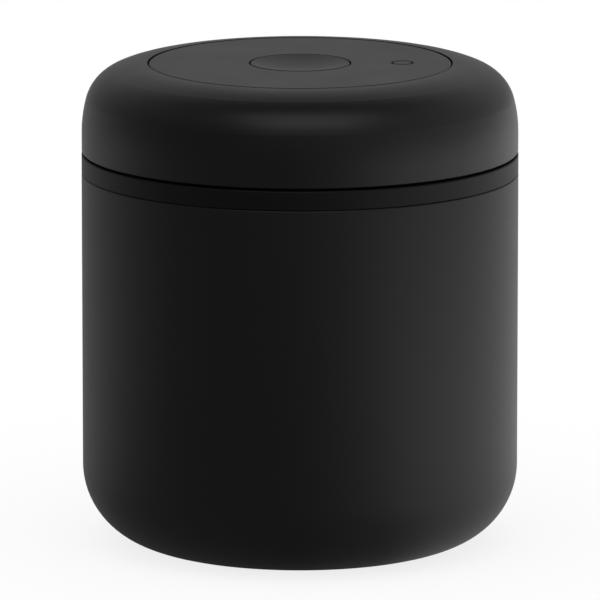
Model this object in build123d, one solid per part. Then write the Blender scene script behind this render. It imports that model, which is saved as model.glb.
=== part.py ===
from build123d import *
import math
import os

# Vacuum canister for coffee. A steel jar is closed by a lid whose rounded outer cap turns on a
# fixed tray. Turning the cap drives a piston up and down, which pumps the air out of the jar.
# A push button in the middle of the lid lets the air back in, and a small marker beside it
# sinks while there is a vacuum. Lengths are millimetres, angles are degrees, Z points up from
# the table, and every turned piece stands on the Z axis.

# Jar
jar_diameter = 114.0
jar_height = 98.05
jar_wall = 0.9
base_corner_radius = 20.7
stand_width = 6.0
base_recess_height = 1.2
base_recess_slope = 2.0
rim_break = 0.3

# Outside of the lid
band_height = 5.05
turning_gap = 0.65
skirt_height = 4.95
cap_inset = 0.05
cap_wall = 2.3
side_arc_radius = 33.8
side_turn = 15.0
shoulder_arc_radius = 11.2
shoulder_turn = 52.4
level_turn = 90.0
disc_share = 0.6912
disc_thickness = 1.6
disc_spigot_wall = 1.2
disc_spigot_depth = 1.2
seam_gap = 0.4
edge_break = 0.25
fine_edge_break = 0.125

# Tray
plug_clearance = 1.5
tray_wall = 2.0
tray_floor = 2.2
gutter_depth = 11.85
lip_height = 2.9
lip_clearance = 0.45
plug_lead_in = 1.0
well_clearance = 0.8
gutter_rib_count = 6
gutter_rib_thickness = 1.2
gutter_rib_height = 8.0

# Mouth gasket, which sits between two ribs on the plug
gasket_height = 6.0
gasket_drop = 3.0
gasket_rib_thickness = 1.0
gasket_rib_share = 0.55
gasket_body_share = 0.4
gasket_lip_count = 3
gasket_lip_share = 0.6

# Carrier under the top disc
carrier_rim_height = 1.8
carrier_rim_wall = 1.0
carrier_plate = 2.0
carrier_overhang = 3.2
well_wall = 1.4

# Push button, its spring and the release valve
button_diameter = 25.9
button_dish_depth = 1.2
button_rim_flat = 0.5
button_roof = 1.8
button_skirt_wall = 1.6
button_flange_width = 1.2
button_flange_height = 4.5
button_travel = 2.5
button_well_depth = 2.6
button_boss_radius = 4.0
stem_radius = 1.9
stem_grip = 5.0
stem_foot_width = 0.8
stem_foot_height = 1.0
release_seal_radius = 6.0
release_seal_thickness = 2.1
release_seal_lip = 1.0
button_spring_radius = 6.5
button_spring_wire = 0.4
button_spring_turns = 3.5

# Guide hub
hub_wall = 2.0
hub_tab_length = 7.0
hub_tab_width = 8.0
hub_tab_thickness = 2.0
hub_column_radius = 3.2
hub_screw_inset = 3.5
blind_boss_radius = 3.0
blind_boss_depth = 3.5
arm_count = 3
first_arm_angle = 90.0

# Drive drum and slip ring
drum_gap = 1.9
drum_wall = 2.5
drum_flange_thickness = 2.4
drum_flange_drop = 4.0
slip_ring_thickness = 1.0
stroke = 12.0
cap_turn = 90.0

# Inside of the cap
neck_wall = 2.0
cap_boss_radius = 2.8
cap_boss_count = 3
cap_rib_count = 6
cap_rib_thickness = 1.2

# Pump
cylinder_wall = 1.8
cylinder_groove = 0.8
centre_tube_radius = 6.0
centre_tube_wall = 2.6
piston_clearance = 0.4
piston_thickness = 5.8
piston_floor_gap = 1.7
piston_end_margin = 0.8
collar_wall = 4.4
collar_clearance = 0.4
seal_groove_depth = 1.6
seal_groove_height = 2.4
groove_height_share = 0.65
seal_rubbing_gap = 0.15
seal_neck_share = 0.67
seal_tip_share = 0.33
spider_thickness = 5.0
spider_ring_width = 6.2
spider_arm_root_width = 8.0
spider_arm_tip_width = 6.0
spider_arm_neck_gap = 0.4
cam_pin_diameter = 3.0
cam_pin_length = 12.0
cam_pin_end_share = 0.25
valve_dome_radius = 2.7
valve_dome_height = 1.2
valve_stem_radius = 0.8
valve_bulb_height = 1.4
valve_dome_rim_share = 0.5
valve_dome_shoulder_share = 0.75
valve_dome_flat_share = 0.5
valve_bulb_radius_share = 1.5
valve_tip_radius_share = 0.5
valve_port_radius_shares = (0.6, 0.15)
valve_port_count = 4
valve_recess_share = 0.8

# Filter under the tray
filter_overhang = 1.5
filter_wall = 1.4
filter_mesh_thickness = 0.3
filter_spigot_depth = 2.5
filter_slot_count = 12
filter_slot_width = 1.6
filter_slot_starts = (3.2, 6.4)
filter_slot_margin = 1.6

# Vacuum marker
marker_radius = 2.45
marker_gap = 0.4
marker_travel = 1.8
marker_rod_radius = 1.5
marker_collar_width = 0.85
marker_collar_height = 1.8
marker_tube_wall = 1.0
marker_cup_radius = 2.75
marker_cup_height = 3.4
marker_port_radius = 1.2
marker_spring_length = 8.0
marker_spring_wire = 0.3
marker_spring_turns = 4.5

# Screws, whose heads have six sides
screw_radius = 1.1
screw_head_sides = 6
screw_head_radius = 2.0
screw_head_height = 1.4
screw_length = 6.0
screw_clearance = 0.1
drum_screw_length = 5.5

# Clearances
turning_clearance = 0.3
sliding_clearance = 0.2
seat_gap = 0.1
face_gap = 0.05
press_gap = 0.02
joint_bite = 0.2
arm_bite = 0.4

# Every cut runs this far past the faces that it opens
overrun = 1.0

# Sides of a spring's wire
wire_sides = 6

STAND = (Align.CENTER, Align.CENTER, Align.MIN)
RADIAL = (Align.MIN, Align.CENTER, Align.MIN)


def run_of_arc(radius, start, end):
    """Distance that a rounding goes inwards while it turns from one angle to another."""
    return radius * (math.cos(math.radians(start)) - math.cos(math.radians(end)))


def rise_of_arc(radius, start, end):
    """Distance that a rounding climbs while it turns from one angle to another."""
    return radius * (math.sin(math.radians(end)) - math.sin(math.radians(start)))


# Radii of the jar and the cap
jar_radius = jar_diameter / 2
jar_bore = jar_radius - jar_wall
stand_radius = jar_radius - base_corner_radius
cap_radius = jar_radius - cap_inset
disc_radius = jar_radius * disc_share
opening_radius = disc_radius + seam_gap

# The crown takes what the side and the shoulder leave, so that it ends level at the opening
shoulder_end = side_turn + shoulder_turn
crown_turn = level_turn - shoulder_end
side_run = run_of_arc(side_arc_radius, 0, side_turn)
shoulder_run = run_of_arc(shoulder_arc_radius, side_turn, shoulder_end)
crown_run = cap_radius - opening_radius - side_run - shoulder_run
crown_arc_radius = crown_run / math.sin(math.radians(crown_turn))

# Heights of the outside
band_top = jar_height + band_height
cap_bottom = band_top + turning_gap
skirt_top = cap_bottom + skirt_height
lid_top = (
    skirt_top
    + rise_of_arc(side_arc_radius, 0, side_turn)
    + rise_of_arc(shoulder_arc_radius, side_turn, shoulder_end)
    + rise_of_arc(crown_arc_radius, shoulder_end, level_turn)
)

# Heights of the lid's works, from the top disc down to the floor of the tray
disc_bottom = lid_top - disc_thickness
plate_top = disc_bottom - carrier_rim_height
carrier_bottom = plate_top - carrier_plate
drum_top = carrier_bottom - sliding_clearance
button_flange_top = disc_bottom - sliding_clearance
button_flange_bottom = button_flange_top - button_flange_height
button_well_floor = button_flange_bottom - button_travel - button_well_depth
button_well_bottom = button_well_floor - well_wall
spider_top = button_well_bottom - turning_clearance - screw_head_height - stroke
spider_bottom = spider_top - spider_thickness
cam_height = spider_bottom + spider_thickness / 2
cylinder_top = spider_bottom - piston_end_margin
piston_top = cylinder_top - piston_end_margin - stroke
piston_bottom = piston_top - piston_thickness
well_floor = piston_bottom - piston_floor_gap
well_bottom = well_floor - tray_floor
gutter_floor = jar_height - gutter_depth
gutter_bottom = gutter_floor - tray_floor
drum_bottom = gutter_floor + slip_ring_thickness + seat_gap
flange_top = drum_top - drum_flange_drop
flange_bottom = flange_top - drum_flange_thickness

# Button
button_radius = button_diameter / 2
button_flange_radius = button_radius + button_flange_width
button_hole_radius = button_radius + seam_gap
button_well_bore = button_flange_radius + seam_gap
button_well_radius = button_well_bore + well_wall
button_roof_bottom = lid_top - button_dish_depth - button_roof

# Radii of the works, from the top disc in to the pump
carrier_radius = disc_radius - sliding_clearance
hub_radius = carrier_radius - carrier_overhang
hub_bore = hub_radius - hub_wall
well_bore = hub_radius + well_clearance
well_radius = well_bore + tray_floor
drum_bore = hub_radius + drum_gap
drum_radius = drum_bore + drum_wall
neck_radius = opening_radius + neck_wall
plug_radius = jar_bore - plug_clearance
plug_bore = plug_radius - tray_wall
marker_tube_bore = marker_cup_radius + seal_rubbing_gap
marker_tube_radius = marker_tube_bore + marker_tube_wall
marker_offset = (button_flange_radius + carrier_radius) / 2
cylinder_radius = marker_offset - marker_tube_radius - sliding_clearance
cylinder_bore = cylinder_radius - cylinder_wall
piston_radius = cylinder_bore - piston_clearance
piston_bore = centre_tube_radius + collar_clearance
collar_radius = piston_bore + collar_wall
spider_bore = piston_bore + collar_clearance
spider_ring_radius = spider_bore + spider_ring_width
spider_screw_circle = piston_bore + collar_wall / 2
cam_pin_radius = cam_pin_diameter / 2
cam_pin_tip = drum_radius + cam_pin_diameter * cam_pin_end_share
hub_column_circle = hub_bore - hub_column_radius + joint_bite
hub_screw_circle = hub_bore - hub_screw_inset
gasket_top = jar_height - gasket_drop
gasket_bottom = gasket_top - gasket_height

# The cap's bosses stand half way between the drum and the inside of the cap's side
side_centre = cap_radius - side_arc_radius
side_bore_arc_radius = side_arc_radius - cap_wall
cap_bore = side_centre + math.sqrt(side_bore_arc_radius**2 - (flange_top - skirt_top) ** 2)
cap_boss_circle = (drum_radius + cap_bore) / 2
flange_radius = cap_boss_circle + cap_boss_radius + press_gap

# Release valve, which hangs under the floor and is pulled up against it
release_seal_top = well_bottom - seat_gap
release_seal_bottom = release_seal_top - release_seal_thickness
stem_foot_bottom = release_seal_bottom - stem_foot_height
centre_tube_bore = centre_tube_radius - centre_tube_wall

# Filter, clear of the valve when it is pushed open
filter_radius = cylinder_bore + filter_overhang
filter_bore = filter_radius - filter_wall
filter_mesh_top = stem_foot_bottom - button_travel - turning_clearance
filter_floor_top = filter_mesh_top - filter_mesh_thickness
filter_bottom = filter_floor_top - filter_wall

# Umbrella valves: each sits half way between the walls on its two sides
inlet_offset = (centre_tube_radius + cylinder_bore) / 2
outlet_offset = (collar_radius + piston_radius) / 2
inlet_angle = 180.0
outlet_angle = 60.0

# Marker
marker_hole_radius = marker_radius + marker_gap
marker_guide_bore = marker_radius + sliding_clearance
marker_collar_radius = marker_radius + marker_collar_width
marker_collar_top = carrier_bottom - sliding_clearance
marker_cup_bottom = well_floor + marker_spring_length
marker_cup_top = marker_cup_bottom + marker_cup_height
marker_tube_top = marker_cup_top + marker_travel

arm_angles = [first_arm_angle + 360 / arm_count * arm for arm in range(arm_count)]
column_angles = [angle - 180 / arm_count for angle in arm_angles]

# Grooves of the piston's two seals
groove_floor = piston_radius - seal_groove_depth
bore_groove_floor = piston_bore + seal_groove_depth
groove_bottom = piston_bottom + (piston_thickness - seal_groove_height) * groove_height_share
groove_top = groove_bottom + seal_groove_height


# Shapes shared by the pieces

def point_at(radius, angle):
    """Point in plan at a radius and an angle."""
    turn = math.radians(angle)
    return (radius * math.cos(turn), radius * math.sin(turn))


def turned(outline):
    """Solid turned about Z from an outline drawn as radius and height."""
    return revolve(Plane.XZ * make_face(outline), Axis.Z)


def turned_corners(*corners):
    """Solid turned about Z from corners joined by straight lines."""
    return turned(Polyline(*corners, close=True))


def post(radius, bottom, top, place=(0, 0)):
    """Upright round post."""
    return Pos(*place, bottom) * Cylinder(radius, top - bottom, align=STAND)


def tube(radius, bore, bottom, top, place=(0, 0)):
    """Upright round wall."""
    return post(radius, bottom, top, place) - post(bore, bottom, top, place)


def bar(angle, inner, outer, width, bottom, top):
    """Straight bar that runs outwards from the axis at an angle."""
    block = Box(outer - inner, width, top - bottom, align=RADIAL)
    return Rot(0, 0, angle) * Pos(inner, 0, bottom) * block


def cross_pin(angle, height, radius, inner, outer):
    """Round pin that lies level and points away from the axis."""
    rod = Cylinder(radius, outer - inner, align=STAND)
    return Rot(0, 0, angle) * Pos(inner, 0, height) * Rot(0, 90, 0) * rod


def screw(place, seat, length, head_up=True):
    """Screw whose head rests on the height seat."""
    head = extrude(RegularPolygon(screw_head_radius, screw_head_sides), screw_head_height)
    turn = Rot(0, 0, 0) if head_up else Rot(180, 0, 0)
    return Pos(*place, seat) * turn * (head + post(screw_radius, -length, 0))


def screw_hole(place, bottom, top):
    """Round hole that a screw's thread runs in."""
    return post(screw_radius + screw_clearance, bottom, top, place)


def coil(radius, wire, turns, bottom, top, place=(0, 0)):
    """Compression spring between two heights."""
    height = top - bottom - wire * 2
    path = Helix(height / turns, height, radius)
    start = Plane(origin=path @ 0, x_dir=(1, 0, 0), z_dir=path % 0)
    section = start * RegularPolygon(wire, wire_sides)
    return Pos(*place, bottom + wire) * sweep(section, path=path, is_frenet=True)


def umbrella_valve(place, seat, web):
    """Rubber valve: a dome on its seat, a stem through the web and a bulb below it."""
    web_bottom = seat - web
    profile = turned_corners(
        (0, seat + valve_dome_height),
        (valve_dome_radius * valve_dome_flat_share, seat + valve_dome_height * valve_dome_shoulder_share),
        (valve_dome_radius, seat + valve_dome_height * valve_dome_rim_share),
        (valve_dome_radius, seat + face_gap),
        (valve_stem_radius, seat + face_gap),
        (valve_stem_radius, web_bottom),
        (valve_stem_radius * valve_bulb_radius_share, web_bottom),
        (valve_stem_radius * valve_tip_radius_share, web_bottom - valve_bulb_height),
        (0, web_bottom - valve_bulb_height),
    )
    return Pos(*place, 0) * profile


def valve_holes(place, bottom, top):
    """Holes for an umbrella valve's stem and for the air around it."""
    ring_share, port_share = valve_port_radius_shares
    holes = post(valve_stem_radius + press_gap, bottom, top, place)
    for port in range(valve_port_count):
        x, y = point_at(valve_dome_radius * ring_share, 360 / valve_port_count * (port + 0.5))
        holes += post(valve_dome_radius * port_share, bottom, top, (place[0] + x, place[1] + y))
    return holes


# Jar

def jar_form(inset, top):
    """Jar's outline moved in by a wall, turned into a solid."""
    side = jar_radius - inset
    recess_foot = stand_radius - stand_width
    recess_edge = recess_foot - base_recess_slope
    corner = CenterArc((stand_radius, base_corner_radius), base_corner_radius - inset, -90, 90)
    rest = Polyline(
        corner @ 1,
        (side, top),
        (0, top),
        (0, base_recess_height + inset),
        (recess_edge, base_recess_height + inset),
        (recess_foot, inset),
        corner @ 0,
    )
    return turned([corner, rest])


def canister_shell():
    """Drawn steel jar with a large rounded base and a bevelled rim."""
    shell = jar_form(0, jar_height) - jar_form(jar_wall, jar_height + overrun)
    return chamfer(shell.edges().group_by(Axis.Z)[-1], rim_break)


# Lid base

def gasket_space():
    """Distance from the plug to the wall of the jar."""
    return jar_bore - plug_radius


def lid_tray():
    """Band, plug, gutter and well in one moulding, with the air passages in its floor."""
    lip_radius = cap_radius - cap_wall - lip_clearance
    tray = turned_corners(
        (plug_radius - plug_lead_in, gutter_bottom),
        (plug_radius, gutter_bottom + plug_lead_in),
        (plug_radius, jar_height),
        (jar_radius - edge_break, jar_height),
        (jar_radius, jar_height + edge_break),
        (jar_radius, band_top - edge_break),
        (jar_radius - edge_break, band_top),
        (lip_radius, band_top),
        (lip_radius, band_top + lip_height),
        (plug_bore, band_top + lip_height),
        (plug_bore, gutter_floor),
        (well_bore, gutter_floor),
        (well_bore, well_floor),
        (0, well_floor),
        (0, well_bottom),
        (well_radius - plug_lead_in, well_bottom),
        (well_radius, well_bottom + plug_lead_in),
        (well_radius, gutter_bottom),
    )
    rib_radius = plug_radius + gasket_space() * gasket_rib_share
    rib_bore = plug_bore + joint_bite
    for rib_bottom in (gasket_bottom - gasket_rib_thickness, gasket_top):
        tray += tube(rib_radius, rib_bore, rib_bottom, rib_bottom + gasket_rib_thickness)
    rib_start = drum_radius + turning_clearance
    rib_bottom = gutter_floor - joint_bite
    rib_top = gutter_floor + gutter_rib_height
    for rib in range(gutter_rib_count):
        angle = 360 / gutter_rib_count * rib
        tray += bar(angle, rib_start, rib_bore, gutter_rib_thickness, rib_bottom, rib_top)
    tray += post(centre_tube_radius, well_bottom, button_well_bottom - sliding_clearance)
    tray += post(marker_tube_radius, well_bottom, marker_tube_top, (marker_offset, 0))
    for angle in arm_angles:
        place = point_at(hub_screw_circle, angle)
        tray += post(blind_boss_radius, well_bottom - blind_boss_depth, well_floor, place)
    spigot_radius = filter_bore - seat_gap
    spigot_bottom = well_bottom - filter_spigot_depth
    tray += tube(spigot_radius, spigot_radius - filter_wall, spigot_bottom, well_floor)

    # Air passages, the cylinder's groove and the screw holes
    tray -= post(centre_tube_bore, well_bottom - overrun, button_well_bottom)
    tray -= post(marker_tube_bore, well_floor, marker_tube_top + overrun, (marker_offset, 0))
    tray -= post(marker_port_radius, well_bottom - overrun, well_floor, (marker_offset, 0))
    inlet = point_at(inlet_offset, inlet_angle)
    tray -= valve_holes(inlet, well_bottom - overrun, well_floor + overrun)
    groove_radius = cylinder_radius + press_gap
    groove_bore = cylinder_bore - press_gap
    tray -= tube(groove_radius, groove_bore, well_floor - cylinder_groove, well_floor)
    for angle in arm_angles:
        place = point_at(hub_screw_circle, angle)
        hole_bottom = well_floor + hub_tab_thickness - screw_length - screw_clearance
        tray -= screw_hole(place, hole_bottom, well_floor + overrun)
    return tray


def mouth_gasket():
    """Silicone ring with lips that reach towards the wall of the jar."""
    space = gasket_space()
    bore = plug_radius + face_gap
    body = plug_radius + space * gasket_body_share
    reach = jar_bore - turning_clearance
    bottom = gasket_bottom + seat_gap
    pitch = (gasket_height - seat_gap * 2) / gasket_lip_count
    corners = [(bore, gasket_top - seat_gap), (bore, bottom)]
    for lip in range(gasket_lip_count):
        base = bottom + pitch * lip
        corners += [(body, base), (reach, base + pitch * gasket_lip_share)]
        corners += [(body, base + pitch * gasket_lip_share)]
    corners += [(body, gasket_top - seat_gap)]
    return turned_corners(*corners)


def pump_cylinder():
    """Sleeve that stands in the groove of the well floor."""
    return tube(cylinder_radius, cylinder_bore, well_floor - cylinder_groove, cylinder_top)


def guide_hub():
    """Round wall with an upright slot for each arm and a screw column between the slots."""
    hub = tube(hub_radius, hub_bore, well_floor, carrier_bottom)
    hole_bottom = plate_top - screw_length - screw_clearance
    for angle in column_angles:
        place = point_at(hub_column_circle, angle)
        hub += post(hub_column_radius, well_floor, carrier_bottom, place)
        hub -= screw_hole(place, hole_bottom, carrier_bottom + overrun)
    tab_inner = hub_bore - hub_tab_length
    tab_outer = hub_bore + joint_bite
    tab_top = well_floor + hub_tab_thickness
    slot_inner = hub_bore - overrun
    slot_outer = hub_radius + overrun
    slot_width = spider_arm_tip_width + sliding_clearance * 2
    slot_bottom = spider_bottom - sliding_clearance
    slot_top = spider_top + stroke + sliding_clearance
    for angle in arm_angles:
        hub += bar(angle, tab_inner, tab_outer, hub_tab_width, well_floor, tab_top)
        hub -= screw_hole(point_at(hub_screw_circle, angle), well_floor - overrun, tab_top + overrun)
        hub -= bar(angle, slot_inner, slot_outer, slot_width, slot_bottom, slot_top)
    return hub


def hub_screws():
    """Screws through the hub's tabs into the blind bosses of the tray."""
    places = [point_at(hub_screw_circle, angle) for angle in arm_angles]
    return [screw(place, well_floor + hub_tab_thickness, screw_length) for place in places]


def slip_ring():
    """Low-friction washer in the gutter, under the drum."""
    return tube(drum_radius, drum_bore, gutter_floor, gutter_floor + slip_ring_thickness)


def lid_carrier():
    """Plate that holds the cap down, with the button's well and a rim for the top disc."""
    guide_bore = stem_radius + sliding_clearance
    rim_bore = carrier_radius - carrier_rim_wall
    carrier = turned_corners(
        (guide_bore, button_well_bottom),
        (button_well_radius, button_well_bottom),
        (button_well_radius, carrier_bottom),
        (carrier_radius, carrier_bottom),
        (carrier_radius, disc_bottom),
        (rim_bore, disc_bottom),
        (rim_bore, plate_top),
        (button_well_radius, plate_top),
        (button_well_radius, disc_bottom),
        (button_well_bore, disc_bottom),
        (button_well_bore, button_well_floor),
        (guide_bore, button_well_floor),
    )
    marker_place = (marker_offset, 0)
    carrier += post(marker_guide_bore + marker_tube_wall, plate_top, disc_bottom, marker_place)
    carrier -= post(marker_guide_bore, carrier_bottom - overrun, disc_bottom + overrun, marker_place)
    for angle in column_angles:
        place = point_at(hub_column_circle, angle)
        carrier -= screw_hole(place, carrier_bottom - overrun, plate_top + overrun)
    return carrier


def carrier_screws():
    """Screws through the carrier into the hub's columns."""
    places = [point_at(hub_column_circle, angle) for angle in column_angles]
    return [screw(place, plate_top, screw_length) for place in places]


def top_disc():
    """Flat disc in the top of the lid, with a spigot that centres it in the carrier."""
    disc = post(disc_radius, disc_bottom, lid_top)
    disc -= post(button_hole_radius, disc_bottom - overrun, lid_top + overrun)
    disc -= post(marker_hole_radius, disc_bottom - overrun, lid_top + overrun, (marker_offset, 0))
    disc = chamfer(disc.edges().group_by(Axis.Z)[-1], fine_edge_break)
    spigot_radius = carrier_radius - carrier_rim_wall - seat_gap
    spigot_bore = spigot_radius - disc_spigot_wall
    return disc + tube(spigot_radius, spigot_bore, disc_bottom - disc_spigot_depth, disc_bottom)


def inlet_valve():
    """Umbrella valve that lets air rise from the jar into the cylinder."""
    return umbrella_valve(point_at(inlet_offset, inlet_angle), well_floor, tray_floor)


def filter_mesh():
    """Disc of mesh that keeps grounds out of the pump."""
    return post(filter_bore - seat_gap, filter_floor_top, filter_mesh_top)


def filter_cap():
    """Shallow slotted cup that holds the mesh under the tray."""
    cup = post(filter_radius, filter_bottom, well_bottom)
    cup = chamfer(cup.edges().group_by(Axis.Z)[0], filter_wall / 2)
    cup -= post(filter_bore, filter_floor_top, well_bottom + overrun)
    slot_end = filter_bore - filter_slot_margin
    slot_bottom = filter_bottom - overrun
    slot_top = filter_floor_top + overrun
    for slot in range(filter_slot_count):
        angle = 360 / filter_slot_count * slot
        start = filter_slot_starts[slot % len(filter_slot_starts)]
        cup -= bar(angle, start, slot_end, filter_slot_width, slot_bottom, slot_top)
    return cup


def button_spring():
    """Spring between the floor of the button's well and the button's roof."""
    return coil(
        button_spring_radius,
        button_spring_wire,
        button_spring_turns,
        button_well_floor,
        button_roof_bottom,
    )


def indicator_spring():
    """Spring under the marker's cup."""
    return coil(
        marker_cup_radius - marker_spring_wire * 2,
        marker_spring_wire,
        marker_spring_turns,
        well_floor,
        marker_cup_bottom,
        (marker_offset, 0),
    )


# Turning cap

def cap_form(inset, bottom):
    """Cap's outline moved in by a wall, turned into a solid down to a height."""
    side = cap_radius - inset
    lower = JernArc((side, skirt_top), (0, 1), side_arc_radius - inset, side_turn)
    shoulder = JernArc(lower @ 1, lower % 1, shoulder_arc_radius - inset, shoulder_turn)
    crown = JernArc(shoulder @ 1, shoulder % 1, crown_arc_radius - inset, crown_turn)
    rest = Polyline(crown @ 1, (0, (crown @ 1).Y), (0, bottom), (side, bottom), lower @ 0)
    return turned([lower, shoulder, crown, rest])


def cap_shell():
    """Rounded shell with an inner neck, ribs, and screw bosses for the drum."""
    cavity = cap_form(cap_wall, cap_bottom - overrun)
    cavity -= tube(neck_radius, drum_radius + seat_gap, flange_top, lid_top)
    cavity -= tube(neck_radius, opening_radius, drum_top, lid_top)
    for boss in range(cap_boss_count):
        place = point_at(cap_boss_circle, 360 / cap_boss_count * boss)
        cavity -= post(cap_boss_radius, flange_top, lid_top, place)
    rib_start = neck_radius - joint_bite
    rib_bottom = flange_top + sliding_clearance
    for rib in range(cap_rib_count):
        angle = 360 / cap_rib_count * rib
        cavity -= bar(angle, rib_start, jar_radius, cap_rib_thickness, rib_bottom, lid_top)
    solid = cap_form(0, cap_bottom)
    solid = chamfer(solid.edges().group_by(Axis.Z)[0], edge_break)
    shell = solid - cavity - post(opening_radius, drum_top, lid_top + overrun)
    for boss in range(cap_boss_count):
        place = point_at(cap_boss_circle, 360 / cap_boss_count * boss)
        hole_top = flange_bottom + drum_screw_length + screw_clearance
        shell -= screw_hole(place, flange_top - overrun, hole_top)
    return shell


def helical_slot():
    """Slot that starts over the X axis and climbs one stroke while it goes back by cap_turn."""
    path_radius = (drum_bore + drum_radius) / 2
    width = cam_pin_diameter + sliding_clearance * 2
    path = Helix(stroke * 360 / cap_turn, stroke, path_radius, lefthand=True)
    depth = drum_wall + overrun * 2
    start = Plane(origin=path @ 0, x_dir=(1, 0, 0), z_dir=path % 0)
    slot = Pos(0, 0, cam_height) * sweep(start * Rectangle(depth, width), path=path, is_frenet=True)
    inner = drum_bore - overrun
    outer = drum_radius + overrun
    slot += cross_pin(0, cam_height, width / 2, inner, outer)
    slot += cross_pin(-cap_turn, cam_height + stroke, width / 2, inner, outer)
    return slot


def drive_drum():
    """Drum with a helical slot for each pin, a lip that holds it down and a flange for the cap."""
    drum = turned_corners(
        (drum_bore, drum_bottom),
        (drum_radius, drum_bottom),
        (drum_radius, flange_bottom),
        (flange_radius, flange_bottom),
        (flange_radius, flange_top),
        (drum_radius, flange_top),
        (drum_radius, drum_top),
        (hub_radius + turning_clearance, drum_top),
        (hub_radius + turning_clearance, drum_top - drum_flange_thickness),
        (drum_bore, drum_top - drum_flange_thickness),
    )
    slot = helical_slot()
    for angle in arm_angles:
        drum -= Rot(0, 0, angle) * slot
    for boss in range(cap_boss_count):
        place = point_at(cap_boss_circle, 360 / cap_boss_count * boss)
        drum -= screw_hole(place, flange_bottom - overrun, flange_top + overrun)
    return drum


def drum_screws():
    """Screws through the drum's flange into the cap."""
    angles = [360 / cap_boss_count * boss for boss in range(cap_boss_count)]
    places = [point_at(cap_boss_circle, angle) for angle in angles]
    return [screw(place, flange_bottom, drum_screw_length, head_up=False) for place in places]


# Pump

def piston_head():
    """Ring-shaped piston with a collar that carries the spider."""
    head = turned_corners(
        (piston_bore, piston_bottom),
        (piston_radius, piston_bottom),
        (piston_radius, groove_bottom),
        (groove_floor, groove_bottom),
        (groove_floor, groove_top),
        (piston_radius, groove_top),
        (piston_radius, piston_top),
        (collar_radius, piston_top),
        (collar_radius, spider_bottom),
        (piston_bore, spider_bottom),
        (piston_bore, groove_top),
        (bore_groove_floor, groove_top),
        (bore_groove_floor, groove_bottom),
        (piston_bore, groove_bottom),
    )
    outlet = point_at(outlet_offset, outlet_angle)
    head -= valve_holes(outlet, piston_bottom - overrun, piston_top + overrun)
    recess_radius = valve_dome_radius * valve_recess_share
    head -= post(recess_radius, piston_bottom - overrun, piston_bottom + valve_bulb_height, outlet)
    for angle in column_angles:
        place = point_at(spider_screw_circle, angle)
        hole_bottom = spider_top - screw_length - screw_clearance
        head -= screw_hole(place, hole_bottom, spider_bottom + overrun)
    return head


def seal_ring(seat, rub, bottom, top):
    """Sealing ring that narrows from the groove it sits in to the wall it rubs on."""
    middle = (bottom + top) / 2
    half_tip = (top - bottom) * seal_tip_share / 2
    neck = seat + (rub - seat) * seal_neck_share
    return turned_corners(
        (seat, bottom),
        (neck, bottom),
        (rub, middle - half_tip),
        (rub, middle + half_tip),
        (neck, top),
        (seat, top),
    )


def piston_seal():
    """Seal between the piston and the cylinder."""
    seat = groove_floor + seat_gap
    rub = cylinder_bore - seal_rubbing_gap
    return seal_ring(seat, rub, groove_bottom + seat_gap, groove_top - seat_gap)


def bore_seal():
    """Seal between the piston and the centre tube."""
    seat = bore_groove_floor - seat_gap
    rub = centre_tube_radius + seal_rubbing_gap
    return seal_ring(seat, rub, groove_bottom + seat_gap, groove_top - seat_gap)


def outlet_valve():
    """Umbrella valve that lets the pumped air out above the piston."""
    web = piston_thickness - valve_bulb_height
    return umbrella_valve(point_at(outlet_offset, outlet_angle), piston_top, web)


def drive_spider():
    """Ring with an arm through each slot of the hub."""
    spider = tube(spider_ring_radius, spider_bore, spider_bottom, spider_top)
    root = spider_ring_radius - arm_bite
    neck = hub_bore - spider_arm_neck_gap
    tip = drum_bore - turning_clearance
    half_root = spider_arm_root_width / 2
    half_tip = spider_arm_tip_width / 2
    outline = Polyline(
        (root, -half_root), (neck, -half_tip), (tip, -half_tip),
        (tip, half_tip), (neck, half_tip), (root, half_root),
        close=True,
    )
    arm = Pos(0, 0, spider_bottom) * extrude(make_face(outline), spider_thickness)
    hole_radius = cam_pin_radius + press_gap
    hole_start = cam_pin_tip - cam_pin_length - seat_gap
    for angle in arm_angles:
        spider += Rot(0, 0, angle) * arm
        spider -= cross_pin(angle, cam_height, hole_radius, hole_start, tip + overrun)
    for angle in column_angles:
        place = point_at(spider_screw_circle, angle)
        spider -= screw_hole(place, spider_bottom - overrun, spider_top + overrun)
    return spider


def spider_screws():
    """Screws through the spider's ring into the piston's collar."""
    places = [point_at(spider_screw_circle, angle) for angle in column_angles]
    return [screw(place, spider_top, screw_length) for place in places]


def cam_pins():
    """Steel pins pressed into the arms, whose ends run in the drum's slots."""
    start = cam_pin_tip - cam_pin_length
    return [cross_pin(angle, cam_height, cam_pin_radius, start, cam_pin_tip) for angle in arm_angles]


# Release valve

def release_button():
    """Dished button with a flange that keeps it under the top disc."""
    button = turned_corners(
        (0, button_roof_bottom),
        (button_radius - button_skirt_wall, button_roof_bottom),
        (button_radius - button_skirt_wall, button_flange_bottom),
        (button_flange_radius, button_flange_bottom),
        (button_flange_radius, button_flange_top),
        (button_radius, button_flange_top),
        (button_radius, lid_top - edge_break),
        (button_radius - edge_break, lid_top),
        (0, lid_top),
    )
    dish_edge = button_radius - button_rim_flat
    dish_radius = (dish_edge**2 + button_dish_depth**2) / (2 * button_dish_depth)
    button -= Pos(0, 0, lid_top - button_dish_depth + dish_radius) * Sphere(dish_radius)
    button += post(button_boss_radius, button_flange_bottom, button_roof_bottom + joint_bite)
    socket_top = button_flange_bottom + stem_grip
    return button - post(stem_radius + press_gap, button_flange_bottom - overrun, socket_top)


def valve_stem():
    """Rod from the button down through the centre tube, with a foot that holds the seal."""
    rod = post(stem_radius, stem_foot_bottom, button_flange_bottom + stem_grip)
    return rod + post(stem_radius + stem_foot_width, stem_foot_bottom, release_seal_bottom)


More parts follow.
